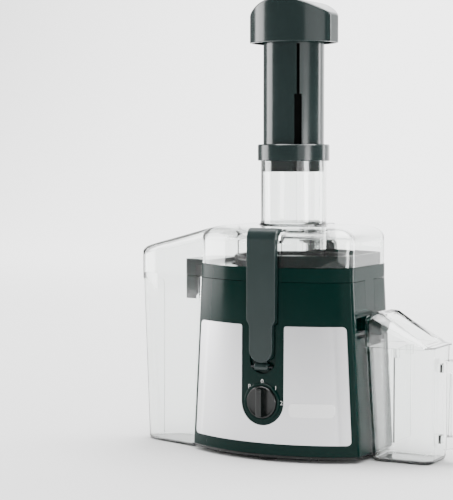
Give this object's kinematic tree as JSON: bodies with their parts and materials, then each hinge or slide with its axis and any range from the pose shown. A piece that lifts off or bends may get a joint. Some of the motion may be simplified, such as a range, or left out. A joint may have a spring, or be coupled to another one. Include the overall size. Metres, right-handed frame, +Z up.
{
  "type": "centrifugal juicer",
  "caption": "Centrifugal juicer with a lens-shaped motor base, clear lid and feed chute with pusher, spinning grating basket, side latches, pulp container and juice jug.",
  "frame": {"origin": "middle of the whole outline, on the surface that the juicer stands on; the drive axis is 11.25 mm left of it and 3.2 mm behind it", "axes": "+Z up along the drive axis, +X towards the juice jug, -Y towards the user, with the knob on that face"},
  "size_m": [0.4424, 0.1894, 0.549],
  "materials": {
    "dark_plastic": "semi-gloss moulded",
    "black_plastic": "satin moulded",
    "clear_plastic": "clear moulded polycarbonate",
    "brushed_steel": "brushed",
    "badge_white": "gloss, blank",
    "rubber": "matte",
    "bright_steel": "polished",
    "lamination_steel": "stacked sheet",
    "copper": "enamelled wire and bars",
    "brass": "pressed",
    "carbon": "matte graphite",
    "zinc_plate": "pressed and plated",
    "board_green": "lacquered board",
    "fan_plastic": "natural nylon"
  },
  "bodies": {
    "base": {"motor_housing": "dark_plastic", "base_plate": "black_plastic", "front_steel_panel": "brushed_steel", "badge_plate": "badge_white", "control_bezel": "black_plastic", "rotary_switch": "black_plastic", "rubber_foot_1": "rubber", "rubber_foot_2": "rubber", "rubber_foot_3": "rubber", "rubber_foot_4": "rubber", "lower_motor_bracket": "zinc_plate", "upper_motor_bracket": "zinc_plate", "motor_tie_bolt_1": "bright_steel", "motor_tie_bolt_2": "bright_steel", "motor_tie_bolt_3": "bright_steel", "motor_tie_bolt_4": "bright_steel", "stator_core": "lamination_steel", "field_coil_left": "copper", "field_coil_right": "copper", "brush_holder_front": "brass", "brush_holder_rear": "brass", "carbon_brush_front": "carbon", "carbon_brush_rear": "carbon", "lower_bearing": "bright_steel", "upper_bearing": "bright_steel", "shaft_seal": "rubber", "circuit_board": "board_green", "safety_microswitch": "black_plastic", "cord_inlet": "black_plastic", "latch_pin_front": "bright_steel", "latch_pin_rear": "bright_steel", "juice_bowl": "dark_plastic"},
    "rotor": {"motor_shaft": "bright_steel", "armature_core": "lamination_steel", "armature_winding": "copper", "commutator": "copper", "cooling_fan": "fan_plastic", "drive_coupling": "black_plastic", "basket_hub": "black_plastic", "grating_disc": "bright_steel", "sieve_cone": "bright_steel", "basket_rim": "black_plastic"},
    "lid": {"lid": "clear_plastic", "chute_collar": "dark_plastic"},
    "pusher": {"pusher_tube": "dark_plastic", "pusher_cap": "dark_plastic"},
    "knob": {"speed_knob": "black_plastic"},
    "front_latch": {"latch_front": "dark_plastic"},
    "rear_latch": {"latch_rear": "dark_plastic"},
    "pulp_bin": {"pulp_container": "clear_plastic"},
    "jug": {"juice_jug": "clear_plastic", "jug_handle": "clear_plastic", "froth_separator": "clear_plastic"},
    "jug_cover": {"jug_lid": "clear_plastic"}
  },
  "joints": [
    {"name": "drive_spin", "type": "hinge", "parent": "base", "child": "rotor", "pos_m": [-0.01125, 0.00322, 0.1], "axis": [0, 0, 1], "continuous": true},
    {"name": "lid_lift", "type": "slide", "parent": "base", "child": "lid", "axis": [0, 0, 1], "range_m": [0, 0.08]},
    {"name": "pusher_slide", "type": "slide", "parent": "lid", "child": "pusher", "axis": [0, 0, 1], "range_m": [-0.1215, 0.04]},
    {"name": "knob_turn", "type": "hinge", "parent": "base", "child": "knob", "pos_m": [-0.01125, -0.08312, 0.07], "axis": [0, 1, 0], "range_deg": [-45, 90]},
    {"name": "front_latch_swing", "type": "hinge", "parent": "base", "child": "front_latch", "pos_m": [-0.01125, -0.08358, 0.112], "axis": [1, 0, 0], "range_deg": [0, 60]},
    {"name": "rear_latch_swing", "type": "hinge", "parent": "base", "child": "rear_latch", "pos_m": [-0.01125, 0.09002, 0.112], "axis": [-1, 0, 0], "range_deg": [0, 60]},
    {"name": "pulp_container_slide", "type": "slide", "parent": "base", "child": "pulp_bin", "axis": [-1, 0, 0], "range_m": [0, 0.11]},
    {"name": "jug_slide", "type": "slide", "parent": "base", "child": "jug", "axis": [1, 0, 0], "range_m": [0, 0.1]},
    {"name": "jug_lid_lift", "type": "slide", "parent": "jug", "child": "jug_cover", "axis": [0, 0, 1], "range_m": [0, 0.06]}
  ],
  "couplings": [
    {"joint": "front_latch_swing", "follows": "lid_lift", "rad_per_m": 13},
    {"joint": "rear_latch_swing", "follows": "lid_lift", "rad_per_m": 13}
  ]
}
